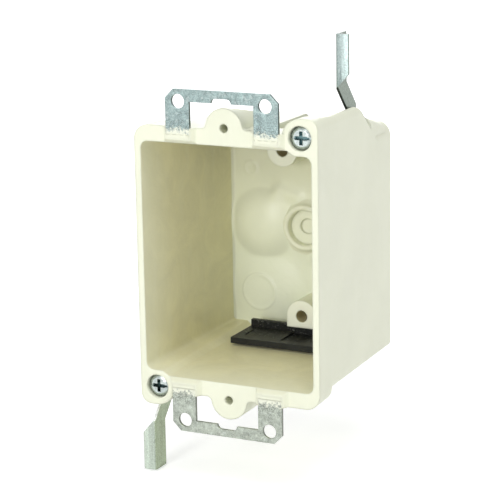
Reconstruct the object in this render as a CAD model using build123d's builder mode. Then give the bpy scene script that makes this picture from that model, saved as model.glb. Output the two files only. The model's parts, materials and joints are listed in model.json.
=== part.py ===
import os
from math import copysign, cos, radians, sin, tan

from build123d import *

os.makedirs("parts", exist_ok=True)

# Old-work switch box. All sizes in mm, +Z up, the open front faces -Y.
# Origin: middle of the front rim plane, half way between the two device screw holes.

# box shell; the height follows the standard pitch of the device screws
device_pitch = 83.34
rim_inside_pitch = 0.37
front_width = 60.4
overall_depth = 59.7
rim_side = 2.1
rim_top = 4.92
back_wall = 1.6
outer_draft = 1.2
inner_draft = 1.25
collar_depth = 11.0
collar_drop = 0.23
collar_step = 3.6
collar_corner_radius = 4.5
collar_rear_chamfer = 1.7
plain_corner_radius = 2.6
channel_corner_radius = 6.0
opening_corner_radius = 2.3
opening_corner_steps = 4
back_edge_radius = 1.8

# clamp screw bosses, at the top right and the bottom left corner
boss_radius = 5.7
boss_depth = 6.4
boss_rise = 4.7
boss_centre_drop = 5.8
boss_corner_radius = 3.4
boss_root = 9.0
inner_bump_height = 1.4
inner_bump_reach = 4.1
inner_bump_slope = 2.2
head_recess_diameter = 7.4
head_recess_depth = 3.1
screw_clearance_diameter = 3.9
channel_radius = 3.25
channel_end_gap = 17.7

# side wings that stop the swing clamps
wing_thickness = 2.4
wing_crest_radius = 4.0
wing_top_drop = 1.0
wing_ramp_length = 14.7
wing_ramp_height = 12.55
wing_foot_past_channel = 4.3

# device screw humps
hump_radius = 6.0
hump_base_height = 6.0
hump_fillet = 1.5
hump_flare_depth = 2.0
hump_length = 24.5
hump_front_flat = 1.5
hump_shoulder = 12.0
hump_slope = 0.21
device_hole_diameter = 2.7
device_hole_depth = 14.0

# rest pads for the folded clamps, and the low ramp behind the clamp channel
rest_pad_width = 11.3
rest_pad_rise = 0.2
rest_pad_root = 6.0
rest_pad_start = 1.0
rest_pad_back_gap = 5.5
rest_pad_end_slope = 2.6
rest_pad_end_drop = 1.9
tail_ramp_length = 11.7
tail_ramp_drop = 3.7
tail_ramp_root = 6.5
tail_ramp_edge_radius = 3.2

# ear plates and their root pads
ear_thickness = 1.0
ear_front = 1.6
ear_half_width = 18.45
ear_leg_width = 7.9
ear_reach = 11.55
ear_bar_width = 3.65
ear_corner_cut = 2.7
ear_hole_side = 4.2
ear_hole_end = 3.65
ear_hole_diameter = 4.4
ear_notch_width = 6.6
ear_notch_depth = 1.4
ear_root_depth = 3.4
ear_flash_depth = 2.0
root_pad_margin = 0.35
root_pad_draft = 30
root_pad_setback = 1.22
root_pad_height = 1.75
root_pad_foot = 0.4

# features of the back wall
post_x = 3.1
post_inset = 9.58
post_radius = 5.2
post_flat_drop = 3.8
post_length = 11.8
post_hole_diameter = 3.9
post_hole_depth = 9.5
ring_outer_radius = 7.1
ring_inner_radius = 5.8
ring_height = 2.0
ring_rim_chamfer = 0.45
ring_floor_drop = 0.2
ring_disc_radius = 2.5
ring_disc_drop = 0.9
dome_radius = 11.2
dome_side_gap = 0.43
dome_height = 2.3
pry_rib_x = 6.5
pry_rib_z = 10.1
pry_rib_length = 7.6
pry_rib_width = 1.5
pry_rib_height = 0.9
pry_rib_tilt = 19

# cable clamps
cable_clamp_half_length = 20.0
cable_clamp_depth = 16.1
cable_clamp_back_gap = 8.5
cable_clamp_thickness = 1.9
cable_clamp_rise = 2.3
cable_clamp_wall = 1.6
cable_clamp_end_gap = 0.3
tray_width = 7.6
tray_depth = 11.0
tray_setback = 2.8
score_length = 6.0
score_width = 0.6
score_from_end = 3.1
score_setback = 4.5
tray_drop = 0.5

# swing clamps and their screws
sheet = 0.85
arm_offset = 1.75
arm_face_width = 4.2
arm_side_depth = 6.5
arm_length = 27.8
arm_bend = 12.0
arm_neck = 2.0
arm_slope = 0.92
arm_tip_slant = 0.6
arm_face_cut = 3.9
arm_fold_radius = 0.8
base_radius = 3.1
base_setback = 13.6
base_foot = 1.8
base_shoulder = 3.6
base_screw_gap = 5.3
bottom_clamp_y = 0.9
screw_diameter = 3.45
screw_fit = 0.05
screw_past_channel = -1.4
screw_head_diameter = 6.7
screw_head_height = 2.3
screw_head_crown = 0.9
screw_slot_width = 0.7
screw_slot_depth = 0.8
screw_cross_width = 1.1
screw_cross_length = 4.0
screw_cross_depth = 1.6

# how far a cut or a join runs past the face it meets
past = 0.5

# worked out from the sizes above
device_z = device_pitch / 2
half_width = front_width / 2
half_height = device_z - rim_inside_pitch
half_opening_width = half_width - rim_side
half_opening_height = half_height - rim_top
body_half_height = half_height - collar_step
inside_depth = overall_depth - back_wall
boss_x = half_width - boss_radius
boss_top = half_height + boss_rise
boss_z = boss_top - boss_centre_drop
channel_end = overall_depth - channel_end_gap
wing_inner_x = half_width - wing_thickness
ramp_foot = channel_end + wing_foot_past_channel
wing_crest_y = ramp_foot - wing_ramp_length
wing_crest_z = boss_top - wing_top_drop
rest_pad_end = channel_end - rest_pad_back_gap
ear_end = half_height + ear_reach
ear_inner_x = ear_half_width - ear_leg_width
ear_leg_x = ear_half_width - ear_leg_width / 2
ear_hole_x = ear_half_width - ear_hole_side
ear_hole_z = ear_end - ear_hole_end
ear_notch_z = ear_end - ear_bar_width
root_pad_inner_z = half_opening_height + root_pad_setback
post_z = half_opening_height - post_inset
post_flat_z = post_z + post_flat_drop
post_front = inside_depth - post_length
dome_x = half_opening_width - inside_depth * tan(radians(inner_draft)) - dome_side_gap - dome_radius
cable_clamp_back = overall_depth - cable_clamp_back_gap
cable_clamp_front = cable_clamp_back - cable_clamp_depth
screw_end = channel_end + screw_past_channel
top_clamp_y = screw_end - base_screw_gap - base_setback


def at_depth(y):
    return Plane.XZ.offset(-y)


def turned(part):
    return part.rotate(Axis.Y, 180)


def rounded_corner(x, z, start):
    """Points of a quarter turn, clockwise, round the inside of the corner at x, z."""
    centre_x = x - copysign(opening_corner_radius, x)
    centre_z = z - copysign(opening_corner_radius, z)
    points = []
    for step in range(opening_corner_steps + 1):
        angle = radians(start - 90 * step / opening_corner_steps)
        points.append((centre_x + opening_corner_radius * cos(angle), centre_z + opening_corner_radius * sin(angle)))
    return points


# The hollow inside, drafted toward the back wall.
with BuildPart() as inside_space:
    with BuildSketch(Plane.XZ):
        bump_z = half_opening_height - inner_bump_height
        bump_start = boss_x - inner_bump_reach
        bump_flat = bump_start + inner_bump_slope
        with BuildLine():
            Polyline(
                *rounded_corner(-half_opening_width, half_opening_height, 180),
                (bump_start, half_opening_height),
                (bump_flat, bump_z),
                *rounded_corner(half_opening_width, bump_z, 90),
                *rounded_corner(half_opening_width, -half_opening_height, 0),
                (-bump_start, -half_opening_height),
                (-bump_flat, -bump_z),
                *rounded_corner(-half_opening_width, -bump_z, -90),
                close=True,
            )
        make_face()
    extrude(amount=-inside_depth, taper=inner_draft)

# Everything moulded outside the shell at the top end; the bottom end is the same, turned half a turn.
with BuildPart() as wing_envelope:
    with BuildSketch(Plane.XZ) as envelope_sketch:
        Rectangle(front_width, 2 * boss_top)
        fillet(envelope_sketch.vertices().group_by(Axis.Y)[-1].sort_by(Axis.X)[-1], boss_corner_radius)
    extrude(amount=-overall_depth, taper=outer_draft)

with BuildPart() as wing:
    with BuildSketch(Plane.YZ.offset(wing_inner_x)):
        with BuildLine():
            Polyline(
                (0, boss_z - boss_root),
                (0, boss_top),
                (2 * boss_depth, wing_crest_z),
                (wing_crest_y, wing_crest_z),
                (ramp_foot, wing_crest_z - wing_ramp_height),
                (ramp_foot, boss_z - boss_root),
                close=True,
            )
        make_face()
    extrude(amount=wing_thickness + past)
    ramp_crest = wing.edges().filter_by(Axis.X).sort_by(Axis.Z)[-3:].sort_by(Axis.Y)[-1]
    fillet(ramp_crest, wing_crest_radius)
    add(wing_envelope.part, mode=Mode.INTERSECT)

with BuildPart() as device_hump:
    with BuildSketch(Plane.XZ) as hump_sketch:
        with Locations((0, device_z)):
            Circle(hump_radius)
        with Locations((0, half_height)):
            Rectangle(4 * hump_radius, hump_base_height, align=(Align.CENTER, Align.MAX))
        rim_corners = hump_sketch.vertices().filter_by_position(Axis.Y, half_height - past, half_height + past)
        fillet(rim_corners.sort_by(Axis.X)[1:-1], hump_fillet)
    extrude(amount=-hump_flare_depth)
    with BuildSketch(Plane.XZ):
        with Locations((0, device_z)):
            Circle(hump_radius)
            Rectangle(2 * hump_radius, hump_base_height, align=(Align.CENTER, Align.MAX))
    extrude(amount=-hump_length)
    crest = device_z + hump_radius
    shoulder_y = hump_length - hump_shoulder
    with BuildSketch(Plane.YZ):
        with BuildLine():
            Polyline(
                (0, crest),
                (hump_front_flat, crest),
                (shoulder_y, crest - hump_slope * shoulder_y),
                (hump_length, body_half_height - past),
                (hump_length + past, body_half_height - past),
                (hump_length + past, crest + past),
                (0, crest + past),
                close=True,
            )
        make_face()
    extrude(amount=2 * hump_radius, both=True, mode=Mode.SUBTRACT)

# Block bounded by the two drafted side planes.
with BuildPart() as side_draft:
    rear_half_width = half_width - overall_depth * tan(radians(outer_draft))
    with BuildSketch(Plane.XY):
        with BuildLine():
            Polyline(
                (-half_width, 0),
                (half_width, 0),
                (rear_half_width, overall_depth),
                (-rear_half_width, overall_depth),
                close=True,
            )
        make_face()
    extrude(amount=2 * half_height, both=True)

# Low ramp behind the clamp channel, flush with the side wall.
with BuildPart() as tail_ramp:
    with BuildSketch(Plane.YZ.offset(boss_x - channel_radius)):
        with BuildLine():
            Polyline(
                (channel_end - past, boss_z - tail_ramp_root),
                (channel_end - past, boss_z),
                (channel_end + tail_ramp_length, boss_z - tail_ramp_drop),
                (channel_end + tail_ramp_length, boss_z - tail_ramp_root),
                close=True,
            )
        make_face()
    extrude(amount=half_width)
    add(side_draft.part, mode=Mode.INTERSECT)
    outer_edge = tail_ramp.faces().sort_by(Axis.X)[-1].edges().sort_by(Axis.Z)[-1]
    fillet(outer_edge, tail_ramp_edge_radius)

# Raised pads the ear legs are moulded into.
with BuildPart() as root_pads:
    with BuildSketch(at_depth(-root_pad_height)):
        for side in (-1, 1):
            with Locations((side * ear_leg_x, root_pad_inner_z)):
                pad_width = ear_leg_width + 2 * root_pad_margin
                Rectangle(pad_width, half_height - root_pad_inner_z, align=(Align.CENTER, Align.MIN))
    extrude(amount=-root_pad_height - root_pad_foot, taper=-root_pad_draft)
    with BuildSketch(at_depth(-root_pad_height)):
        Rectangle(front_width, 2 * half_height)
    extrude(amount=-root_pad_height - root_pad_foot, mode=Mode.INTERSECT)

with BuildPart() as top_features:
    # boss round the clamp screw, squared off toward the side wall
    with BuildSketch(Plane.XZ) as boss_sketch:
        with Locations((boss_x, boss_z)):
            Circle(boss_radius)
        with BuildLine():
            Polyline(
                (boss_x, boss_z - boss_root),
                (boss_x, boss_top),
                (half_width, boss_top),
                (half_width, boss_z - boss_root),
                close=True,
            )
        make_face()
        fillet(boss_sketch.vertices().group_by(Axis.Y)[-1].sort_by(Axis.X)[-1], boss_corner_radius)
    extrude(amount=-boss_depth, taper=outer_draft)
    add(wing.part)
    add(device_hump.part)
    add(tail_ramp.part)
    add(root_pads.part)
    # rest pad for the folded clamp
    with BuildSketch(Plane.YZ):
        pad_top = half_height + rest_pad_rise
        with BuildLine():
            Polyline(
                (rest_pad_start, half_height - rest_pad_root),
                (rest_pad_start, pad_top),
                (rest_pad_end - rest_pad_end_slope, pad_top),
                (rest_pad_end, pad_top - rest_pad_end_drop),
                (rest_pad_end, half_height - rest_pad_root),
                close=True,
            )
        make_face()
    extrude(amount=rest_pad_width)
    add(inside_space.part, mode=Mode.SUBTRACT)

# One ear plate: two legs joined by a bar, as stamped from sheet.
with BuildPart() as top_ear:
    with BuildSketch(at_depth(-ear_front)) as ear_sketch:
        with Locations((0, ear_end)):
            Rectangle(2 * ear_half_width, ear_reach + ear_root_depth, align=(Align.CENTER, Align.MAX))
        chamfer(ear_sketch.vertices().group_by(Axis.Y)[-1], ear_corner_cut)
        with Locations((0, ear_notch_z)):
            Rectangle(2 * ear_inner_x, ear_end, align=(Align.CENTER, Align.MAX), mode=Mode.SUBTRACT)
        with Locations((-ear_hole_x, ear_hole_z), (ear_hole_x, ear_hole_z)):
            Circle(ear_hole_diameter / 2, mode=Mode.SUBTRACT)
        with Locations((0, ear_notch_z)):
            SlotOverall(ear_notch_width, 2 * ear_notch_depth, mode=Mode.SUBTRACT)
    extrude(amount=-ear_thickness)
top_ear.part.label = "top_ear"
export_step(top_ear.part, "parts/top_ear.step")

bottom_ear_solid = turned(top_ear.part)
with BuildPart() as bottom_ear:
    add(bottom_ear_solid)
bottom_ear.part.label = "bottom_ear"
export_step(bottom_ear.part, "parts/bottom_ear.step")

# Everything cut into the moulding at the top end.
with BuildPart() as top_cuts:
    # recess and clearance hole for the clamp screw
    with BuildSketch(at_depth(-past)):
        with Locations((boss_x, boss_z)):
            Circle(head_recess_diameter / 2)
    extrude(amount=-head_recess_depth - past)
    with BuildSketch(Plane.XZ):
        with Locations((boss_x, boss_z)):
            Circle(screw_clearance_diameter / 2)
    extrude(amount=-boss_depth - past)
    # open channel the clamp slides in
    with BuildSketch(at_depth(boss_depth)):
        with Locations((boss_x, boss_z)):
            Circle(channel_radius)
        with Locations((boss_x, boss_z)):
            Rectangle(2 * channel_radius, boss_root, align=(Align.CENTER, Align.MIN))
    extrude(amount=-(channel_end - boss_depth))
    # device screw hole
    with BuildSketch(at_depth(-past)):
        with Locations((0, device_z)):
            Circle(device_hole_diameter / 2)
    extrude(amount=-device_hole_depth - past)
    # face of the ear legs left bare above the moulded flash
    with BuildSketch(at_depth(-root_pad_height - past)):
        for side in (-1, 1):
            with Locations((side * ear_leg_x, half_height - ear_flash_depth)):
                Rectangle(ear_leg_width, ear_flash_depth + past, align=(Align.CENTER, Align.MIN))
    extrude(amount=-(root_pad_height + past - ear_front))
    # bed of the ear plate
    add(top_ear.part)

# Features on the inner face of the back wall, top half; the bottom half is the same, turned half a turn.
with BuildPart() as back_features:
    with BuildSketch(at_depth(post_front)):
        with Locations((-post_x, post_z)):
            Circle(post_radius)
            Rectangle(2 * post_radius, post_flat_drop, align=(Align.CENTER, Align.MIN))
            with Locations((0, post_flat_drop)):
                Rectangle(3 * post_radius, post_radius, align=(Align.CENTER, Align.MIN), mode=Mode.SUBTRACT)
    extrude(amount=-post_length - past)
    # short pry rib beside the dome
    with BuildSketch(at_depth(inside_depth - pry_rib_height)):
        with Locations(Location((-pry_rib_x, pry_rib_z), -pry_rib_tilt)):
            SlotOverall(pry_rib_length, pry_rib_width)
    extrude(amount=-pry_rib_height - past)

# Low smooth dome beside the central ring, its flank curving out into the wall.
with BuildPart() as dome_cap:
    with BuildSketch(Plane.XY):
        crown = (dome_x, inside_depth - dome_height)
        flank = (dome_x + dome_radius / 2, inside_depth - dome_height / 2)
        foot = (dome_x + dome_radius, inside_depth)
        with BuildLine():
            crown_arc = TangentArc(crown, flank, tangent=(1, 0))
            TangentArc(flank, foot, tangent=crown_arc % 1)
            Polyline(foot, (dome_x + dome_radius, inside_depth + past), (dome_x, inside_depth + past), crown)
        make_face()
    revolve(axis=Axis((dome_x, 0, 0), (0, 1, 0)))

# Central boss, its rim softened on the outside.
with BuildPart() as ring_boss:
    with BuildSketch(at_depth(inside_depth - ring_height)):
        Circle(ring_outer_radius)
    extrude(amount=-ring_height - past)
    chamfer(ring_boss.faces().sort_by(Axis.Y)[0].edges(), ring_rim_chamfer)

# Thick front collar, its top and bottom faces sloping inward.
with BuildPart() as collar:
    with BuildSketch(Plane.YZ):
        with BuildLine():
            Polyline(
                (0, -half_height),
                (0, half_height),
                (collar_depth, half_height - collar_drop),
                (collar_depth, collar_drop - half_height),
                close=True,
            )
        make_face()
    extrude(amount=half_width, both=True)
    add(side_draft.part, mode=Mode.INTERSECT)
    short_edges = collar.edges().group_by(SortBy.LENGTH)[0]
    left_edge = short_edges.filter_by_position(Axis.X, -front_width, 0).sort_by(Axis.Z)[-1]
    right_edge = short_edges.filter_by_position(Axis.X, 0, front_width).sort_by(Axis.Z)[0]
    fillet([left_edge, right_edge], collar_corner_radius)
    chamfer(collar.faces().sort_by(Axis.Y)[-1].edges(), collar_rear_chamfer)

with BuildPart() as box_body:
    with BuildSketch(Plane.XZ) as shell_sketch:
        Rectangle(front_width, 2 * body_half_height)
        shell_corners = shell_sketch.vertices().group_by(Axis.X)
        left_corners = shell_corners[0].sort_by(Axis.Y)
        right_corners = shell_corners[-1].sort_by(Axis.Y)
        fillet([left_corners[0], right_corners[-1]], channel_corner_radius)
        left_top = shell_sketch.vertices().group_by(Axis.X)[0].sort_by(Axis.Y)[-1]
        right_bottom = shell_sketch.vertices().group_by(Axis.X)[-1].sort_by(Axis.Y)[0]
        fillet([left_top, right_bottom], plain_corner_radius)
    extrude(amount=-(overall_depth - back_edge_radius), taper=outer_draft)
    # rounded back edge, in two slanted steps
    for step in range(2):
        step_depth = back_edge_radius * (sin(radians(45 * step + 45)) - sin(radians(45 * step)))
        extrude(box_body.faces().sort_by(Axis.Y)[-1], amount=step_depth, taper=45 * step + 22.5)
    add(collar.part)
    add(inside_space.part, mode=Mode.SUBTRACT)
    add(top_features.part)
    add(turned(top_features.part))
    add(top_cuts.part, mode=Mode.SUBTRACT)
    add(turned(top_cuts.part), mode=Mode.SUBTRACT)
    # back wall: low domes, central ring and the two posts
    add(dome_cap.part)
    add(turned(dome_cap.part))
    add(ring_boss.part)
    with BuildSketch(at_depth(inside_depth - ring_height)):
        Circle(ring_inner_radius)
    extrude(amount=-ring_height - ring_floor_drop, mode=Mode.SUBTRACT)
    with BuildSketch(at_depth(inside_depth)):
        Circle(ring_disc_radius)
    extrude(amount=-ring_floor_drop - ring_disc_drop, mode=Mode.SUBTRACT)
    add(back_features.part)
    add(turned(back_features.part))
    with BuildSketch(at_depth(post_front - past)):
        with Locations((-post_x, post_z), (post_x, -post_z)):
            Circle(post_hole_diameter / 2)
    extrude(amount=-post_hole_depth - past, mode=Mode.SUBTRACT)
box_body.part.label = "box_body"
export_step(box_body.part, "parts/box_body.step")

# Clamp screw: pan head with a driver cross and a slot, plain shank to the tip.
with BuildPart() as top_clamp_screw:
    head_top = head_recess_depth - screw_head_height
    with BuildSketch(at_depth(head_top)):
        with Locations((boss_x, boss_z)):
            Circle(screw_head_diameter / 2)
    extrude(amount=-screw_head_height)
    head_rim = top_clamp_screw.faces().sort_by(Axis.Y)[0].edges()
    chamfer(head_rim, screw_head_crown / 2, screw_head_crown)
    with BuildSketch(at_depth(head_recess_depth)):
        with Locations((boss_x, boss_z)):
            Circle(screw_diameter / 2)
    extrude(amount=-(screw_end - head_recess_depth))
    with BuildSketch(at_depth(head_top)):
        with Locations((boss_x, boss_z)):
            Rectangle(screw_head_diameter + past, screw_slot_width)
    extrude(amount=-screw_slot_depth, mode=Mode.SUBTRACT)
    with BuildSketch(at_depth(head_top)):
        with Locations((boss_x, boss_z)):
            Rectangle(screw_cross_length, screw_cross_width)
            Rectangle(screw_cross_width, screw_cross_length)
    extrude(amount=-screw_cross_depth, mode=Mode.SUBTRACT)
top_clamp_screw.part.label = "top_clamp_screw"
export_step(top_clamp_screw.part, "parts/top_clamp_screw.step")

with BuildPart() as bottom_clamp_screw:
    add(turned(top_clamp_screw.part))
bottom_clamp_screw.part.label = "bottom_clamp_screw"
export_step(bottom_clamp_screw.part, "parts/bottom_clamp_screw.step")

# Swing clamp, bent from one strip: side plate, folded front face and tapped base.
with BuildPart() as top_swing_clamp:
    side_x = boss_x + arm_offset
    neck_y = top_clamp_y + arm_slope * (arm_bend - arm_neck)
    base_back = top_clamp_y + base_setback
    with BuildSketch(Plane.YZ.offset(side_x)) as side_sketch:
        with BuildLine():
            Polyline(
                (top_clamp_y, boss_z + arm_bend),
                (top_clamp_y, boss_z + arm_length),
                (top_clamp_y + arm_side_depth, boss_z + arm_length - arm_tip_slant),
                (top_clamp_y + arm_side_depth, boss_z + arm_bend + sheet),
                (base_back, boss_z + 2.5 * arm_neck),
                (base_back, boss_z - base_foot),
                (neck_y, boss_z - base_foot),
                (neck_y, boss_z + arm_neck),
                close=True,
            )
        make_face()
    extrude(amount=sheet)
    # front face folded over from the side plate
    with BuildSketch(at_depth(top_clamp_y)):
        with BuildLine():
            Polyline(
                (side_x, boss_z + arm_bend),
                (side_x, boss_z + arm_length),
                (side_x + arm_face_width, boss_z + arm_length),
                (side_x + arm_face_width, boss_z + arm_bend + arm_face_cut),
                (side_x + sheet, boss_z + arm_bend),
                close=True,
            )
        make_face()
    extrude(amount=-sheet)
    fold_edge = top_swing_clamp.edges().filter_by(Axis.Z).group_by(Axis.X)[0].sort_by(Axis.Y)[0]
    fillet(fold_edge, arm_fold_radius)
    # tapped base, square to the screw
    with BuildSketch(at_depth(base_back - sheet)):
        with Locations((boss_x, boss_z)):
            Circle(base_radius)
            with Locations((0, -base_foot)):
                Rectangle(arm_offset + sheet, base_foot + base_shoulder, align=(Align.MIN, Align.MIN))
            Circle(screw_diameter / 2 + screw_fit, mode=Mode.SUBTRACT)
    extrude(amount=-sheet)
top_swing_clamp.part.label = "top_swing_clamp"
export_step(top_swing_clamp.part, "parts/top_swing_clamp.step")

with BuildPart() as bottom_swing_clamp:
    add(turned(top_swing_clamp.part).moved(Location((0, bottom_clamp_y - top_clamp_y, 0))))
bottom_swing_clamp.part.label = "bottom_swing_clamp"
export_step(bottom_swing_clamp.part, "parts/bottom_swing_clamp.step")

# Cable clamp: one flexible moulding, a plate with an upright back edge held under the post.
with BuildPart() as bottom_cable_clamp:
    plate_top = post_flat_z + cable_clamp_rise
    with BuildSketch(Plane.XY.offset(-plate_top)):
        with Locations((post_x, cable_clamp_front)):
            Rectangle(2 * cable_clamp_half_length, cable_clamp_depth, align=(Align.CENTER, Align.MIN))
    extrude(amount=-cable_clamp_thickness)
    with BuildSketch(Plane.XY.offset(-plate_top)):
        with Locations((post_x, cable_clamp_back)):
            wall_length = 2 * (cable_clamp_half_length - cable_clamp_end_gap)
            Rectangle(wall_length, cable_clamp_wall, align=(Align.CENTER, Align.MAX))
    extrude(amount=cable_clamp_rise)
    # shallow tray in the middle and a score line near each end
    with BuildSketch(Plane.XY.offset(-plate_top)):
        with Locations((post_x, cable_clamp_front + tray_setback)):
            Rectangle(tray_width, tray_depth, align=(Align.CENTER, Align.MIN))
        score_offset = cable_clamp_half_length - score_from_end
        for side in (-1, 1):
            with Locations((post_x + side * score_offset, cable_clamp_front + score_setback)):
                Rectangle(score_width, score_length, align=(Align.CENTER, Align.MIN))
    extrude(amount=-tray_drop, mode=Mode.SUBTRACT)
bottom_cable_clamp.part.label = "bottom_cable_clamp"
export_step(bottom_cable_clamp.part, "parts/bottom_cable_clamp.step")

with BuildPart() as top_cable_clamp:
    add(turned(bottom_cable_clamp.part))
top_cable_clamp.part.label = "top_cable_clamp"
export_step(top_cable_clamp.part, "parts/top_cable_clamp.step")
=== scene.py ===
import json
import math

import bpy
from mathutils import Matrix, Vector


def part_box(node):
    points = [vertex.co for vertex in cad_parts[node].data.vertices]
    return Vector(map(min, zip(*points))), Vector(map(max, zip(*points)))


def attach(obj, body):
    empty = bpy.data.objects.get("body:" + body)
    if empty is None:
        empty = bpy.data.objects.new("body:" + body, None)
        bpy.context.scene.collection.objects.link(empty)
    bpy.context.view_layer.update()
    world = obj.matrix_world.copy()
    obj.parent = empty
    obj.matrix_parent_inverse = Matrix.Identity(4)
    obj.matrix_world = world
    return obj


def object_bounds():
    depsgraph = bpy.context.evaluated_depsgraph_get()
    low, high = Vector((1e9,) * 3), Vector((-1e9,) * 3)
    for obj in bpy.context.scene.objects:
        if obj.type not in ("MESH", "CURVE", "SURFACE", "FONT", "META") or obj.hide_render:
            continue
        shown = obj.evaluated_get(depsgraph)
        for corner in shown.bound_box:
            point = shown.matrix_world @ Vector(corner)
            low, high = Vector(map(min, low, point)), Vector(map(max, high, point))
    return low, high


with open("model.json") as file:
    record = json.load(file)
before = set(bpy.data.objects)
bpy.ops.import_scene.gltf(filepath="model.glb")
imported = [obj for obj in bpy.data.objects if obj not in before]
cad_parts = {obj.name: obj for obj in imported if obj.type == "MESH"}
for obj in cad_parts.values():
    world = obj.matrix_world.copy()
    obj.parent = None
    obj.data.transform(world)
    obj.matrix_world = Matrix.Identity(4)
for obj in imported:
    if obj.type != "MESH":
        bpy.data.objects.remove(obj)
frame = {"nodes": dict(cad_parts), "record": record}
cad_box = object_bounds()

MM = 0.001


def mm(*values):
    """Lengths given in millimetres, in metres."""
    return tuple(value * MM for value in values)


# Camera, fitted to the photograph: place in metres, axes from yaw, pitch and roll.
CAMERA_PLACE = (0.25814, -0.50451, 0.14076)
CAMERA_YAW = 0.4603
CAMERA_PITCH = 0.2351
CAMERA_ROLL = -0.0166
CAMERA_LENS = 141.297
SENSOR = 36.0

# Stage, in metres.
FLOOR_GAP = 0.0005
FLOOR_RADIUS = 6.0
FLOOR_GREY = (0.9, 0.9, 0.9, 1.0)
FLOOR_WHITENS = (0.2, 0.9)
FLOOR_LIFT = (0.34, 0.62)
AMBIENT = (0.97, 0.98, 1.0, 1.0)
AMBIENT_STRENGTH = 0.52
WHITE = (1.0, 1.0, 1.0, 1.0)

# Lamps: name, place and size in metres, power in watts. All point at the origin.
LAMPS = (
    ("key", (0.0, -1.35, 0.22), 0.3, 4.0),
    ("high_key", (-0.1, -1.3, 0.58), 0.3, 3.4),
    ("top", (0.3, -0.4, 1.45), 0.9, 6.6),
    ("fill", (1.35, -0.25, 0.35), 0.9, 2.0),
    ("back", (-0.5, 1.35, 0.7), 0.9, 5.0),
)

# Sizes of the CAD model, in millimetres.
BACK_WALL = 1.6
WALL_HALF_WIDTH = 26.9
WALL_HALF_HEIGHT = 34.8
RING_RADIUS = 7.1
RING_INNER = 5.8
EAR_LEG_WIDTH = 7.9
THREAD_PITCH = 0.8
CLAMP_FACE = (26.25, 30.45)
CLAMP_THICKNESS = 0.85
CLAMP_SIDE_DEPTH = 6.5


def corners_of(node):
    """A CAD node's lowest and highest corners at rest, in millimetres to four places."""
    return [[round(value / MM, 4) for value in corner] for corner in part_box(node)]


# Places on the CAD model, in millimetres, read from the frame.
body_low, body_high = corners_of("box_body")
screw_low, screw_high = corners_of("top_clamp_screw")
ear_right = corners_of("top_ear")[1][0]
WALL_Y = body_high[1] - BACK_WALL
EAR_LEG_X = ear_right - EAR_LEG_WIDTH / 2
SCREW_AXIS = ((screw_low[0] + screw_high[0]) / 2, (screw_low[2] + screw_high[2]) / 2)
SCREW_HEAD_Y = screw_low[1]
POSTS = [
    [value / MM for value in mount["pos_m"]]
    for mount in frame["record"]["mounts"]
    if mount["kind"] == "threaded_hole"
]

# Moulded relief of the back wall, in millimetres.
# A dome, mound or circle is x, z and radius, and a rib is x, z and tilt in degrees.
WALL_STEP = 0.45
WALL_LIFT = 0.02
DOME = (15.2, 0.0, 12.1)
DOME_HEIGHT = 3.4
DOME_SOFTNESS = 0.5
MOUND = (14.0, 22.5, 13.0)
MOUND_HEIGHT = 1.8
MOUND_SOFTNESS = 0.3
RIB = (-6.5, 10.1, 19.0)
RIB_HEIGHT = 1.15
RIB_WIDTH = 2.9
RIB_TAPER = (3.2, 7.5)
RING_FLARE = 4.0
RING_SOFTNESS = 0.3
RING_COVERED = 0.75
FAINT_CIRCLES = ((-16.9, -23.0, 5.8), (-20.0, 17.9, 2.1))
CIRCLE_HEIGHT = 0.3
CIRCLE_WIDTH = 0.4
EDGE_FILLET = 1.4
EDGE_RISE = 0.7

# Rounded rim over the central ring, in millimetres; its skirt is steps outward and heights above the wall.
RIM_OUTER = 7.6
RIM_TOP = 2.75
RIM_FLATTEN = 0.8
RIM_OVERLAP = 0.05
RIM_SKIRT = ((1.7, 0.5), (0.8, 1.0), (0.25, 1.4))
RIM_ARC_PARTS = 10
RIM_TURNS = 96

# Cream skin over the feet of the top ear, in millimetres.
SKIN_STEP = 0.25
SKIN_LOW = 36.6
SKIN_HIGH = 40.6
SKIN_MARGIN = 1.5
SKIN_SIDE_BLEND = 1.9
SKIN_FOOT_BLEND = 2.4
SKIN_DEPTH = -body_low[1]
SKIN_LIFT = 0.04
SKIN_THINNING = 0.5
SKIN_THINS_BELOW_TOP = (1.6, 0.6)

# Waves of the skin's ragged edge: height in millimetres, radians for each millimetre, shares of the phase.
RAGGED_WAVES = ((0.35, 2.9, 1), (0.25, 7.3, 2))

# Upper edge of a clamp's side plate: how far its corners lie below the clamp's tip, in millimetres.
TIP_TOP_AT_FOLD = 0.05
TIP_FOOT_AT_FOLD = 0.2
TIP_FOOT_AT_BACK = 0.8

# Bands over which a mask comes or goes. A bore's mouth is in millimetres from the front of its post.
WITHIN_SIDES = mm(28.8, 29.4)
WITHIN_ENDS = mm(37.0, 37.4)
NEAR_SIDE_WALL = mm(24.5, 25.5)
NEAR_END_WALL = mm(32.5, 33.5)
# Painted shade on the inner walls deepens over this band of depth.
SHADE_DEEPENS = mm(1.0, 18.0)
TURNED_INWARD = mm(-8.0, 0.0)
POST_FRONT_FROM = mm(30.0, 34.0)
POST_FRONT_TO = mm(50.0, 52.0)
BORE_EDGE = mm(2.0, 2.06)
BORE_MOUTH = (0.1, 0.5)
UPPER_WALL = mm(-12.0, 32.0)
EAR_FOOT = mm(39.8, 41.4)
EAR_FOOT_DARKER = mm(41.0, 44.0)
CLAMP_NECK = mm(52.0, 52.2)
SHANK = mm(3.6, 4.2)
RECESS_DEPTH = mm(SCREW_HEAD_Y + 0.25, SCREW_HEAD_Y + 0.8)
RECESS_END = mm(3.0, 3.2)
RECESS_EDGE = mm(2.3, 2.6)
HEAD_RIM = mm(2.7, 3.3)
TRAY_FRONT = mm(38.5, 39.5)
TRAY_SIDES = mm(16.5, 17.2)

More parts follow.
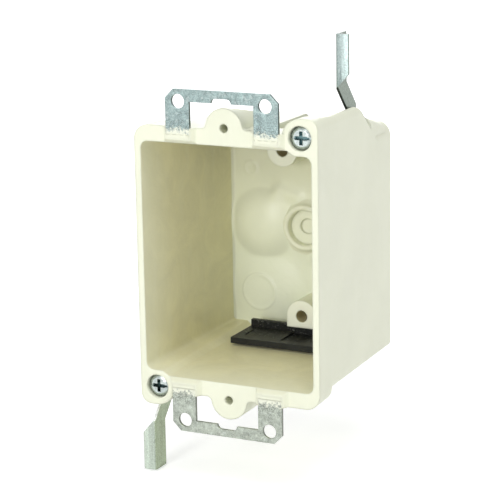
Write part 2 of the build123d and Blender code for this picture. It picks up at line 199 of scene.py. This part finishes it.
CREAM = (0.835, 0.85, 0.675)
# Lighter, greener cream: painted light on the back wall, a lit copy of the body's cream.
LIT_WALL_CREAM = (0.85, 0.885, 0.715)
PALE_CREAM = (0.92, 0.92, 0.80)
# Paler cream for painted light on the post fronts.
POST_LIT_CREAM = (0.95, 0.97, 0.82)
FLASH_CREAM = (0.80, 0.815, 0.68)
# Browner cream for painted shade on the inner walls and towards the top of the back wall.
SHADED_INNER_CREAM = (0.83, 0.79, 0.53)
# Brown for painted shade inside the bores.
BORE_SHADE_BROWN = (0.66, 0.60, 0.38)
TOP_EAR_ZINC = (0.27, 0.345, 0.337)
BOTTOM_EAR_ZINC = (0.385, 0.42, 0.365)
PALE_CRYSTAL = (0.85, 0.90, 0.88)
TOP_CLAMP_FACE = (0.55, 0.66, 0.64)
# Darker green: painted shade on the top clamp's side plate.
TOP_CLAMP_SIDE_SHADE = (0.235, 0.275, 0.235)
# Near black: painted shade on the top clamp's neck.
TOP_CLAMP_NECK_SHADE = (0.07, 0.08, 0.075)
BOTTOM_CLAMP_FACE = (0.52, 0.59, 0.51)
# Painted shade on the bottom clamp's side plate.
BOTTOM_CLAMP_SIDE_SHADE = (0.36, 0.42, 0.30)
# Near white: painted highlight on the bottom clamp's neck.
BOTTOM_CLAMP_NECK_HIGHLIGHT = (0.90, 0.93, 0.90)
# Painted shade on the clamps' upward faces.
CLAMP_UPWARD_SHADE = (0.12, 0.14, 0.13)
SCREW_ZINC = (0.52, 0.58, 0.56)
# Painted shade in the driver recesses, lighter teal on the top screw.
TOP_RECESS_SHADE = (0.09, 0.17, 0.18)
BOTTOM_RECESS_SHADE = (0.02, 0.05, 0.05)
BLACK = (0.015, 0.016, 0.014)
# Grey for painted glints on the tray's rough surface.
FLECK_GLINT_GREY = (0.22, 0.23, 0.21)


class Shader:
    """One node material on a Principled shader, with short calls for the nodes it needs."""

    def __init__(self, name):
        self.material = bpy.data.materials.new(name)
        self.material.use_nodes = True
        self.tree = self.material.node_tree
        self.surface = self.tree.nodes["Principled BSDF"]
        coordinates = self.tree.nodes.new("ShaderNodeTexCoord")
        self.place = coordinates.outputs["Object"]
        self.normal = coordinates.outputs["Normal"]

    def node(self, kind, values=None, **settings):
        made = self.tree.nodes.new(kind)
        for key, value in settings.items():
            setattr(made, key, value)
        for key, value in (values or {}).items():
            self.put(made.inputs[key], value)
        return made

    def put(self, socket, value):
        if isinstance(value, bpy.types.NodeSocket):
            self.tree.links.new(value, socket)
        else:
            socket.default_value = value

    def set(self, **values):
        for key, value in values.items():
            self.put(self.surface.inputs[key.replace("_", " ")], value)

    def stretched(self, along_z):
        """Object coordinates with a grain drawn out along Z."""
        scale = (1.0, 1.0, along_z)
        return self.node("ShaderNodeMapping", {"Vector": self.place, "Scale": scale}).outputs[0]

    def noise(self, scale, detail=3.0, roughness=0.55, vector=None, distortion=0.0):
        values = {
            "Vector": vector or self.place,
            "Scale": scale,
            "Detail": detail,
            "Roughness": roughness,
            "Distortion": distortion,
        }
        return self.node("ShaderNodeTexNoise", values).outputs["Fac"]

    def crystals(self, scale):
        """A value of its own for each small cell."""
        cells = self.node("ShaderNodeTexVoronoi", {"Vector": self.place, "Scale": scale})
        return self.node("ShaderNodeSeparateColor", {"Color": cells.outputs["Color"]}).outputs[0]

    def ramp(self, factor, stops):
        made = self.node("ShaderNodeValToRGB", {"Fac": factor})
        points = made.color_ramp.elements
        while len(points) < len(stops):
            points.new(0.5)
        for point, (position, value) in zip(points, stops):
            point.position = position
            point.color = (*value, 1.0) if isinstance(value, tuple) else (value, value, value, 1.0)
        return made.outputs["Color"]

    def span(self, factor, low, high, start=0.3, end=0.7):
        values = {"Value": factor, "From Min": start, "From Max": end, "To Min": low, "To Max": high}
        return self.node("ShaderNodeMapRange", values).outputs["Result"]

    def rise(self, factor, start, end):
        return self.span(factor, 0.0, 1.0, start, end)

    def fall(self, factor, start, end):
        return self.span(factor, 1.0, 0.0, start, end)

    def mix(self, factor, first, second, blend="MIX"):
        made = self.node("ShaderNodeMix", data_type="RGBA", blend_type=blend)
        self.put(made.inputs["Factor"], factor)
        self.put(made.inputs[6], (*first, 1.0) if isinstance(first, tuple) else first)
        self.put(made.inputs[7], (*second, 1.0) if isinstance(second, tuple) else second)
        return made.outputs[2]

    def math(self, operation, first, second=0.0):
        made = self.node("ShaderNodeMath", operation=operation)
        self.put(made.inputs[0], first)
        self.put(made.inputs[1], second)
        return made.outputs[0]

    def times(self, first, *others):
        for other in others:
            first = self.math("MULTIPLY", first, other)
        return first

    def axes(self):
        return self.node("ShaderNodeSeparateXYZ", {0: self.place}).outputs[:3]

    def facing(self, axis):
        return self.node("ShaderNodeSeparateXYZ", {0: self.normal}).outputs[axis]

    def size_of(self, value):
        return self.math("ABSOLUTE", value)

    def offsets(self, x, z):
        """How far a point lies from a line along Y, across and up; x and z are in millimetres."""
        across, _, height = self.axes()
        return self.math("SUBTRACT", across, x * MM), self.math("SUBTRACT", height, z * MM)

    def length(self, across, up):
        return self.math("SQRT", self.math("ADD", self.times(across, across), self.times(up, up)))

    def bevel(self, radius):
        return self.node("ShaderNodeBevel", {"Radius": radius}, samples=8).outputs["Normal"]

    def bump(self, height, distance, normal):
        values = {"Height": height, "Distance": distance, "Strength": 1.0, "Normal": normal}
        return self.node("ShaderNodeBump", values).outputs["Normal"]


def tint(colour, factor):
    return tuple(min(1.0, channel * factor) for channel in colour)


def inner_wall_shade_mask(shader):
    """1 on the inner faces of the four walls, clear of what stands on the back wall: where painted shade
    goes.
    """
    across, depth, height = shader.axes()
    side = shader.size_of(across)
    end = shader.size_of(height)
    sideways = shader.times(across, shader.facing(0))
    upward = shader.times(height, shader.facing(2))
    outward = shader.math("ADD", sideways, upward)
    return shader.times(
        shader.fall(side, *WITHIN_SIDES),
        shader.fall(end, *WITHIN_ENDS),
        shader.span(depth, 0.5, 1.0, *SHADE_DEEPENS),
        shader.fall(outward, *TURNED_INWARD),
        shader.math("MAXIMUM", shader.rise(side, *NEAR_SIDE_WALL), shader.rise(end, *NEAR_END_WALL)),
        shader.fall(shader.size_of(shader.facing(1)), 0.25, 0.6),
    )


def post_front_light_mask(shader, depth):
    """1 on faces that look out of the box at the depth of the post fronts, where painted light brightens
    them.
    """
    return shader.times(
        shader.fall(shader.facing(1), -0.95, -0.6),
        shader.rise(depth, *POST_FRONT_FROM),
        shader.fall(depth, *POST_FRONT_TO),
    )


def cream_plastic(name, cream, shaded_slopes=0.0, upper_shade=0.0):
    """Glass-filled polyester: cloudy cream, painted shade browning the inner walls, painted light on the post
    fronts, painted shade on steep slopes, in the bores and towards the top of the back wall, fine moulded
    grain, soft edges.
    """
    shader = Shader(name)
    _, depth, height = shader.axes()
    cloud = shader.noise(38.0, detail=4.0, distortion=0.6)
    colour = shader.ramp(cloud, [(0.3, tint(cream, 0.965)), (0.7, tint(cream, 1.02))])
    # Painted shade: the inner walls browner and darker, mottled.
    shade_mottle = shader.noise(70.0, detail=5.0, roughness=0.65, distortion=1.2)
    inner_shade = shader.ramp(shade_mottle, [(0.35, tint(SHADED_INNER_CREAM, 0.93)), (0.65, tint(SHADED_INNER_CREAM, 1.03))])
    colour = shader.mix(inner_wall_shade_mask(shader), colour, inner_shade)
    # Painted light on the post fronts.
    colour = shader.mix(shader.times(post_front_light_mask(shader, depth), 0.85), colour, POST_LIT_CREAM)
    # Painted shade on the steeper slopes of the relief.
    slope_shade = shader.span(shader.facing(1), 0.0, shaded_slopes, -0.975, -0.87)
    colour = shader.mix(slope_shade, colour, tint(cream, 0.66))
    # The painted shade of a bore has a near end only, so it also darkens the outside of the back wall behind
    # the post.
    for post_x, post_y, post_z in POSTS:
        from_bore = shader.length(*shader.offsets(post_x, post_z))
        mouth = mm(post_y + BORE_MOUTH[0], post_y + BORE_MOUTH[1])
        bore = shader.times(shader.fall(from_bore, *BORE_EDGE), shader.rise(depth, *mouth))
        colour = shader.mix(bore, colour, BORE_SHADE_BROWN)
    # Painted shade, deeper towards the top: the top wall's shadow on the back wall.
    colour = shader.mix(shader.span(height, 0.0, upper_shade, *UPPER_WALL), colour, SHADED_INNER_CREAM)
    streak = shader.noise(260.0, detail=3.0, vector=shader.stretched(0.22))
    colour = shader.mix(shader.span(streak, 0.0, 0.14, 0.5, 0.8), colour, PALE_CREAM)
    pitting = shader.noise(520.0, detail=3.0)
    grain = shader.noise(2600.0, detail=2.0)
    normal = shader.bump(pitting, 0.00008, shader.bevel(0.0009))
    normal = shader.bump(grain, 0.000012, normal)
    roughness = shader.span(pitting, 0.30, 0.44)
    shader.set(Base_Color=colour, Roughness=roughness, Normal=normal, Specular_IOR_Level=0.5)
    return shader.material


def ear_sheet(name, zinc, dark, light):
    """Galvanised sheet: fine grey mottle, pale crystals, painted shade on the faces turned sideways, patchy
    darker metal just above the feet, and feet lost under ragged cream.
    """
    shader = Shader(name)
    fine = shader.noise(2600.0, detail=3.0, roughness=0.6)
    broad = shader.noise(520.0, detail=3.0, roughness=0.6, distortion=0.5)
    mottle = shader.math("ADD", shader.times(fine, 0.55), shader.times(broad, 0.45))
    colour = shader.ramp(mottle, [(0.36, tint(zinc, dark)), (0.50, zinc), (0.64, tint(zinc, light))])
    colour = shader.mix(shader.span(shader.crystals(1300.0), 0.0, 0.16, 0.80, 0.98), colour, PALE_CRYSTAL)
    # Painted shade on the faces turned sideways.
    side_face_shade = shader.rise(shader.size_of(shader.facing(0)), 0.5, 0.9)
    colour = shader.mix(side_face_shade, colour, tint(zinc, 0.5))
    ragged = shader.noise(1100.0, detail=4.0, roughness=0.7)
    height = shader.size_of(shader.axes()[2])
    height = shader.math("ADD", height, shader.times(shader.span(ragged, -1.0, 1.0), 0.0014))
    bare_metal = shader.rise(height, *EAR_FOOT)
    # Metal darker and patchy just above the cream feet.
    darker_above_foot = shader.times(shader.span(height, 0.8, 0.0, *EAR_FOOT_DARKER), shader.fall(fine, 0.42, 0.55))
    colour = shader.mix(darker_above_foot, colour, tint(zinc, 0.4))
    colour = shader.mix(bare_metal, FLASH_CREAM, colour)
    scratch = shader.noise(900.0, detail=2.0, vector=shader.stretched(0.12))
    normal = shader.bump(mottle, 0.00004, shader.bevel(0.00025))
    normal = shader.bump(scratch, 0.00001, normal)
    roughness = shader.span(mottle, 0.30, 0.52)
    shader.set(Base_Color=colour, Roughness=roughness, Normal=normal, Metallic=bare_metal)
    return shader.material


def clamp_sheet(name, face, side, neck, turn, fold_shade):
    """Bent zinc strip: pale face with a painted reflection across it, shade at its fold and a highlight strip
    near its far edge, lines drawn along the arm, painted shade on its side plate and on faces turned upward,
    and painted light below the face: shade on the top clamp, a highlight on the bottom one.
    """
    shader = Shader(name)
    grain = shader.noise(2200.0, detail=3.0, roughness=0.6)
    drawn = shader.noise(1400.0, detail=3.0, vector=shader.stretched(0.06))
    shaded_side = shader.rise(shader.size_of(shader.facing(0)), 0.35, 0.8)
    # Painted reflection across the face: shade at the fold, a highlight strip near the far edge, darker again
    # at the very edge.
    across = shader.rise(shader.axes()[0], *mm(turn * CLAMP_FACE[0], turn * CLAMP_FACE[1]))
    stops = [(0.0, fold_shade), (0.35, 0.8 * fold_shade + 0.2), (0.7, 1.0), (0.93, 1.12), (1.0, 0.6)]
    colour = shader.mix(1.0, face, shader.ramp(across, stops), blend="MULTIPLY")
    # Painted shade on the side plate.
    colour = shader.mix(shaded_side, colour, side)
    # Painted shade on faces turned upward.
    colour = shader.mix(shader.rise(shader.facing(2), 0.6, 0.9), colour, CLAMP_UPWARD_SHADE)
    # Painted light below the face: shade on the top clamp, a highlight on the bottom clamp.
    below_face = shader.fall(shader.size_of(shader.axes()[2]), *CLAMP_NECK)
    colour = shader.mix(shader.times(below_face, shader.fall(shaded_side, 0.0, 0.3)), colour, neck)
    scuff = shader.noise(420.0, detail=5.0, roughness=0.7)
    colour = shader.mix(shader.span(scuff, 0.0, 0.45, 0.60, 0.68), colour, tint(side, 0.5))
    colour = shader.mix(1.0, colour, shader.ramp(grain, [(0.35, 0.80), (0.65, 1.15)]), blend="MULTIPLY")
    colour = shader.mix(1.0, colour, shader.ramp(drawn, [(0.35, 0.84), (0.65, 1.12)]), blend="MULTIPLY")
    normal = shader.bump(grain, 0.00003, shader.bevel(0.00035))
    normal = shader.bump(drawn, 0.00003, normal)
    roughness = shader.span(drawn, 0.26, 0.46)
    shader.set(Base_Color=colour, Roughness=roughness, Normal=normal, Metallic=1.0)
    return shader.material


def screw_metal(name, turn, recess):
    """Bright zinc plate: pale head with painted shade towards its rim and in the driver recess, a fine thread
    on the shank with painted shade in its grooves.
    """
    shader = Shader(name)
    depth = shader.axes()[1]
    off_x, off_z = shader.offsets(turn * SCREW_AXIS[0], turn * SCREW_AXIS[1])
    radius = shader.length(off_x, off_z)
    angle = shader.math("ARCTAN2", off_z, off_x)
    phase = shader.math("ADD", shader.times(depth, 2.0 * math.pi / (THREAD_PITCH * MM)), angle)
    shank = shader.rise(depth, *SHANK)
    thread = shader.times(shader.math("SINE", phase), shank)
    # Painted shade in the driver recess.
    sunk = shader.times(
        shader.rise(depth, *RECESS_DEPTH),
        shader.fall(radius, *RECESS_EDGE),
        shader.fall(depth, *RECESS_END),
    )
    mottle = shader.noise(800.0, detail=3.0)
    colour = shader.ramp(mottle, [(0.36, tint(SCREW_ZINC, 0.82)), (0.64, tint(SCREW_ZINC, 1.15))])
    colour = shader.mix(shader.times(sunk, 0.93), colour, recess)
    # Painted shade towards the rim of the head.
    rim = shader.times(shader.span(radius, 0.0, 0.6, *HEAD_RIM), shader.fall(shank, 0.0, 1.0))
    colour = shader.mix(rim, colour, tint(SCREW_ZINC, 0.35))
    # Painted shade in the thread's grooves.
    groove_shade = shader.times(shader.fall(thread, -0.9, 0.2), shank)
    colour = shader.mix(groove_shade, colour, tint(SCREW_ZINC, 0.3))
    normal = shader.bump(mottle, 0.00004, shader.bevel(0.0002))
    normal = shader.bump(thread, 0.0002, normal)
    roughness = shader.span(mottle, 0.18, 0.34)
    shader.set(Base_Color=colour, Roughness=roughness, Normal=normal, Metallic=1.0)
    return shader.material


def black_plastic(name):
    """Flexible black plastic: satin plate, its sunk tray darkened with painted shade and bumped, with grey
    specks as painted glints.
    """
    shader = Shader(name)
    across, depth, _ = shader.axes()
    smear = shader.noise(160.0, detail=4.0)
    colour = shader.ramp(smear, [(0.3, BLACK), (0.7, tint(BLACK, 1.7))])
    tray = shader.times(shader.rise(depth, *TRAY_FRONT), shader.fall(shader.size_of(across), *TRAY_SIDES))
    # Painted shade in the sunk tray.
    colour = shader.mix(shader.times(tray, 0.5), colour, tint(BLACK, 0.5))
    # Grey specks in the tray: painted glints, also bumped.
    fleck_glint = shader.noise(1300.0, detail=4.0, roughness=0.75)
    fleck_glint = shader.times(shader.span(fleck_glint, 0.0, 0.8, 0.56, 0.68), tray)
    colour = shader.mix(fleck_glint, colour, FLECK_GLINT_GREY)
    grain = shader.noise(1500.0, detail=2.0)
    normal = shader.bump(grain, 0.00001, shader.bevel(0.00025))
    normal = shader.bump(fleck_glint, 0.0001, normal)
    roughness = shader.span(smear, 0.34, 0.5)
    shader.set(Base_Color=colour, Roughness=roughness, Normal=normal, Specular_IOR_Level=0.2)
    return shader.material


def wear(node, material):
    mesh = frame["nodes"][node].data
    mesh.materials.clear()
    mesh.materials.append(material)


cream = cream_plastic("cream_polyester", CREAM)
# The back wall's cream carries painted light, painted shade on its slopes and painted shade towards its top.
lit_wall_cream = cream_plastic("back_wall_polyester_painted_light", LIT_WALL_CREAM, shaded_slopes=0.5, upper_shade=0.4)
top_clamp_zinc = clamp_sheet("top_clamp_zinc", TOP_CLAMP_FACE, TOP_CLAMP_SIDE_SHADE, TOP_CLAMP_NECK_SHADE, 1, 0.5)
bottom_clamp_zinc = clamp_sheet(
    "bottom_clamp_zinc", BOTTOM_CLAMP_FACE, BOTTOM_CLAMP_SIDE_SHADE, BOTTOM_CLAMP_NECK_HIGHLIGHT, -1, 0.85
)
black = black_plastic("black_flexible_plastic")

NODE_MATERIALS = {
    "box_body": cream,
    "top_ear": ear_sheet("top_ear_zinc", TOP_EAR_ZINC, 0.58, 1.45),
    "bottom_ear": ear_sheet("bottom_ear_zinc", BOTTOM_EAR_ZINC, 0.6, 1.4),
    "top_swing_clamp": top_clamp_zinc,
    "bottom_swing_clamp": bottom_clamp_zinc,
    "top_clamp_screw": screw_metal("top_screw_zinc", 1, TOP_RECESS_SHADE),
    "bottom_clamp_screw": screw_metal("bottom_screw_zinc", -1, BOTTOM_RECESS_SHADE),
    "top_cable_clamp": black,
    "bottom_cable_clamp": black,
}
for node_name, node_material in NODE_MATERIALS.items():
    wear(node_name, node_material)


def soft_step(value, low, high):
    t = min(1.0, max(0.0, (value - low) / (high - low)))
    return t * t * (3.0 - 2.0 * t)


def joined(first, second, softness):
    """The higher of two heights, with a soft valley where they meet."""
    return 0.5 * (first + second + math.sqrt((first - second) ** 2 + softness ** 2))


def swell(x, z, side, spot):
    """1 at the middle of a round spot, 0 at its radius; the other side's spot is half a turn away."""
    away = math.hypot(x - side * spot[0], z - side * spot[1]) / spot[2]
    return 1.0 - away * away


def rib(x, z, side):
    """1 along the crest of the tilted rib, falling softly across it and at its ends."""
    tilt = math.radians(RIB[2])
    off_x, off_z = x + side * RIB[0], z + side * RIB[1]
    along = off_x * math.cos(tilt) - off_z * math.sin(tilt)
    across = off_x * math.sin(tilt) + off_z * math.cos(tilt)
    return math.exp(-((across / RIB_WIDTH) ** 2)) * (1.0 - soft_step(abs(along), *RIB_TAPER))


def wall_relief(x, z):
    """Height of the moulded relief above the flat back wall."""
    height = 0.0
    for side in (-1, 1):
        height = joined(height, DOME_HEIGHT * swell(x, z, side, DOME), DOME_SOFTNESS)
        height = joined(height, MOUND_HEIGHT * swell(x, z, side, MOUND), MOUND_SOFTNESS)
        height += RIB_HEIGHT * rib(x, z, side)
    height = joined(height, 1.0 - (math.hypot(x, z) - RING_RADIUS) / RING_FLARE, RING_SOFTNESS)
    for circle_x, circle_z, radius in FAINT_CIRCLES:
        off = math.hypot(x - circle_x, z - circle_z) - radius
        height += CIRCLE_HEIGHT * math.exp(-((off / CIRCLE_WIDTH) ** 2))
    to_edge = min(WALL_HALF_WIDTH - abs(x), WALL_HALF_HEIGHT - abs(z))
    height += EDGE_RISE * max(0.0, 1.0 - to_edge / EDGE_FILLET) ** 2
    return height + WALL_LIFT


def mesh_piece(name, points, faces, material, body="box"):
    """A piece of its own from points in millimetres, riding on a body."""
    mesh = bpy.data.meshes.new(name)
    mesh.from_pydata([Vector(point) * MM for point in points], [], faces)
    mesh.materials.append(material)
    mesh.shade_smooth()
    piece = bpy.data.objects.new(name, mesh)
    bpy.context.collection.objects.link(piece)
    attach(piece, body)
    return piece


def skin_piece(name, middle, half_width, low, high, step, depth_at, material, covered=None):
    """A thin skin on a grid in x and z, at the y of depth_at, without the cells that are covered."""
    columns = round(2 * half_width / step)
    rows = round((high - low) / step)
    points = []
    for row in range(rows + 1):
        z = low + (high - low) * row / rows
        for column in range(columns + 1):
            x = -half_width + 2 * half_width * column / columns
            points.append((middle + x, depth_at(x, z), z))
    faces = []
    for row in range(rows):
        for column in range(columns):
            first = row * (columns + 1) + column
            x, _, z = points[first]
            if covered is None or not covered(x + step / 2, z + step / 2):
                faces.append((first, first + 1, first + columns + 2, first + columns + 1))
    mesh_piece(name, points, faces, material)


def make_wall_relief(material):
    """Skin of the back wall with its domes, mounds and ribs, open under the central ring."""

    def depth_at(x, z):
        return WALL_Y - wall_relief(x, z)

    def under_ring(x, z):
        return math.hypot(x, z) <= RING_RADIUS - RING_COVERED

    skin_piece("back_wall_relief", 0.0, WALL_HALF_WIDTH, -WALL_HALF_HEIGHT, WALL_HALF_HEIGHT, WALL_STEP,
               depth_at, material, under_ring)


def make_root_skin(name, middle, phase, material):
    """Soft skin of cream over the foot of one top ear leg, thinning out raggedly over the metal."""
    half_width = EAR_LEG_WIDTH / 2 + SKIN_MARGIN

    def depth_at(x, z):
        ragged = sum(height * math.sin(pace * x + share * phase) for height, pace, share in RAGGED_WAVES)
        body = soft_step(half_width - abs(x), 0.0, SKIN_SIDE_BLEND)
        body *= soft_step(z, SKIN_LOW, SKIN_LOW + SKIN_FOOT_BLEND)
        from_z, to_z = [SKIN_HIGH - below + ragged for below in SKIN_THINS_BELOW_TOP]
        thin = 1.0 - SKIN_THINNING * soft_step(z, from_z, to_z)
        return -SKIN_DEPTH * body * thin - SKIN_LIFT * body

    skin_piece(name, middle, half_width, SKIN_LOW, SKIN_HIGH, SKIN_STEP, depth_at, material)


def make_ring_rim(material):
    """Rounded rim over the edges of the central ring."""
    half = (RIM_OUTER - RING_INNER) / 2 + RIM_OVERLAP
    middle = RING_INNER - RIM_OVERLAP + half
    drop = RIM_FLATTEN * half
    profile = [(RIM_OUTER + beyond, height) for beyond, height in RIM_SKIRT]
    for part in range(RIM_ARC_PARTS + 1):
        angle = math.pi * part / RIM_ARC_PARTS
        profile.append((middle + half * math.cos(angle), RIM_TOP - drop + drop * math.sin(angle)))
    profile.append((middle - half, 0.0))
    points = []
    for turn in range(RIM_TURNS):
        angle = 2 * math.pi * turn / RIM_TURNS
        for radius, height in profile:
            points.append((radius * math.cos(angle), WALL_Y - height, radius * math.sin(angle)))
    faces = []
    size = len(profile)
    for turn in range(RIM_TURNS):
        here, there = turn * size, (turn + 1) % RIM_TURNS * size
        for part in range(size - 1):
            faces.append((here + part, here + part + 1, there + part + 1, there + part))
    mesh_piece("ring_rim", points, faces, material)


def make_clamp_tip(name, node, turn, material, body):
    """Upper edge of the clamp's side plate, level with the top of its front face."""
    low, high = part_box(node)
    front = low[1] / MM
    fold = front + CLAMP_THICKNESS
    back = front + CLAMP_SIDE_DEPTH
    tip = max(high[2], -low[2]) / MM
    upper = [(fold, tip - TIP_TOP_AT_FOLD), (back, tip)]
    lower = [(back, tip - TIP_FOOT_AT_BACK), (fold, tip - TIP_FOOT_AT_FOLD)]
    outline = upper + lower
    near, far = CLAMP_FACE[0], CLAMP_FACE[0] + CLAMP_THICKNESS
    points = [(turn * x, y, turn * z) for x in (near, far) for y, z in outline]
    faces = [(3, 2, 1, 0), (4, 5, 6, 7), (0, 1, 5, 4), (1, 2, 6, 5), (2, 3, 7, 6), (3, 0, 4, 7)]
    piece = mesh_piece(name, points, faces, material, body)
    piece.data.shade_flat()


make_wall_relief(lit_wall_cream)
make_ring_rim(cream)
make_root_skin("top_left_root_skin", -EAR_LEG_X, phase=1.3, material=cream)
make_root_skin("top_right_root_skin", EAR_LEG_X, phase=4.1, material=cream)
make_clamp_tip("top_clamp_tip", "top_swing_clamp", 1, top_clamp_zinc, "top_clamp")
make_clamp_tip("bottom_clamp_tip", "bottom_swing_clamp", -1, bottom_clamp_zinc, "bottom_clamp")


def math_node(tree, operation, first, second):
    made = tree.nodes.new("ShaderNodeMath")
    made.operation = operation
    tree.links.new(first, made.inputs[0])
    tree.links.new(second, made.inputs[1])
    return made.outputs[0]


def seen_directly(tree):
    """1 for camera, glossy and transmission rays, so metal and glass show the white background too."""
    rays = tree.nodes.new("ShaderNodeLightPath")
    seen = rays.outputs["Is Camera Ray"]
    for name in ("Is Glossy Ray", "Is Transmission Ray"):
        seen = math_node(tree, "MAXIMUM", seen, rays.outputs[name])
    return seen


def make_floor():
    """Pale paper that keeps the object's shadow and whitens away from it."""
    low = cad_box[0][2] - FLOOR_GAP
    mesh = bpy.data.meshes.new("floor")
    corners = [(x * FLOOR_RADIUS, y * FLOOR_RADIUS, low) for x, y in ((-1, -1), (1, -1), (1, 1), (-1, 1))]
    mesh.from_pydata(corners, [], [(0, 1, 2, 3)])
    floor = bpy.data.objects.new("floor", mesh)
    bpy.context.collection.objects.link(floor)
    material = bpy.data.materials.new("floor_paper")
    material.use_nodes = True
    tree = material.node_tree
    surface = tree.nodes["Principled BSDF"]
    surface.inputs["Base Color"].default_value = FLOOR_GREY
    surface.inputs["Roughness"].default_value = 0.9
    surface.inputs["Emission Color"].default_value = WHITE
    place = tree.nodes.new("ShaderNodeTexCoord")
    away = tree.nodes.new("ShaderNodeVectorMath")
    away.operation = "LENGTH"
    tree.links.new(place.outputs["Object"], away.inputs[0])
    whiter = tree.nodes.new("ShaderNodeMapRange")
    for key, value in zip(("From Min", "From Max", "To Min", "To Max"), FLOOR_WHITENS + FLOOR_LIFT):
        whiter.inputs[key].default_value = value
    tree.links.new(away.outputs["Value"], whiter.inputs["Value"])
    lift = math_node(tree, "MULTIPLY", seen_directly(tree), whiter.outputs["Result"])
    tree.links.new(lift, surface.inputs["Emission Strength"])
    mesh.materials.append(material)


def make_world():
    """A white background to look at, and a softer even light on the object."""
    world = bpy.data.worlds.new("studio")
    bpy.context.scene.world = world
    world.use_nodes = True
    tree = world.node_tree
    tree.nodes.clear()
    output = tree.nodes.new("ShaderNodeOutputWorld")
    mix = tree.nodes.new("ShaderNodeMixShader")
    tree.links.new(seen_directly(tree), mix.inputs[0])
    for socket, colour, strength in ((1, AMBIENT, AMBIENT_STRENGTH), (2, WHITE, 1.0)):
        light = tree.nodes.new("ShaderNodeBackground")
        light.inputs["Color"].default_value = colour
        light.inputs["Strength"].default_value = strength
        tree.links.new(light.outputs[0], mix.inputs[socket])
    tree.links.new(mix.outputs[0], output.inputs["Surface"])


def make_lamp(name, place, size, power):
    data = bpy.data.lights.new(name, "AREA")
    data.shape = "DISK"
    data.size = size
    data.energy = power
    lamp = bpy.data.objects.new(name, data)
    lamp.location = place
    lamp.rotation_euler = (-Vector(place)).to_track_quat("-Z", "Y").to_euler()
    bpy.context.collection.objects.link(lamp)


def make_camera():
    """The photograph's camera, from its fitted place and angles."""
    forward = Vector((
        -math.sin(CAMERA_YAW) * math.cos(CAMERA_PITCH),
        math.cos(CAMERA_YAW) * math.cos(CAMERA_PITCH),
        -math.sin(CAMERA_PITCH),
    ))
    level = Vector((math.cos(CAMERA_YAW), math.sin(CAMERA_YAW), 0.0))
    upright = level.cross(forward)
    right = math.cos(CAMERA_ROLL) * level + math.sin(CAMERA_ROLL) * upright
    up = math.cos(CAMERA_ROLL) * upright - math.sin(CAMERA_ROLL) * level
    data = bpy.data.cameras.new("camera")
    data.sensor_width = SENSOR
    data.lens = CAMERA_LENS
    data.clip_start = 0.01
    data.clip_end = 50.0
    camera = bpy.data.objects.new("camera", data)
    bpy.context.collection.objects.link(camera)
    turn = Matrix((right, up, -forward)).transposed()
    camera.matrix_world = Matrix.Translation(CAMERA_PLACE) @ turn.to_4x4()
    bpy.context.scene.camera = camera


make_floor()
make_world()
for lamp_values in LAMPS:
    make_lamp(*lamp_values)
make_camera()
bpy.context.scene.view_settings.view_transform = "Standard"
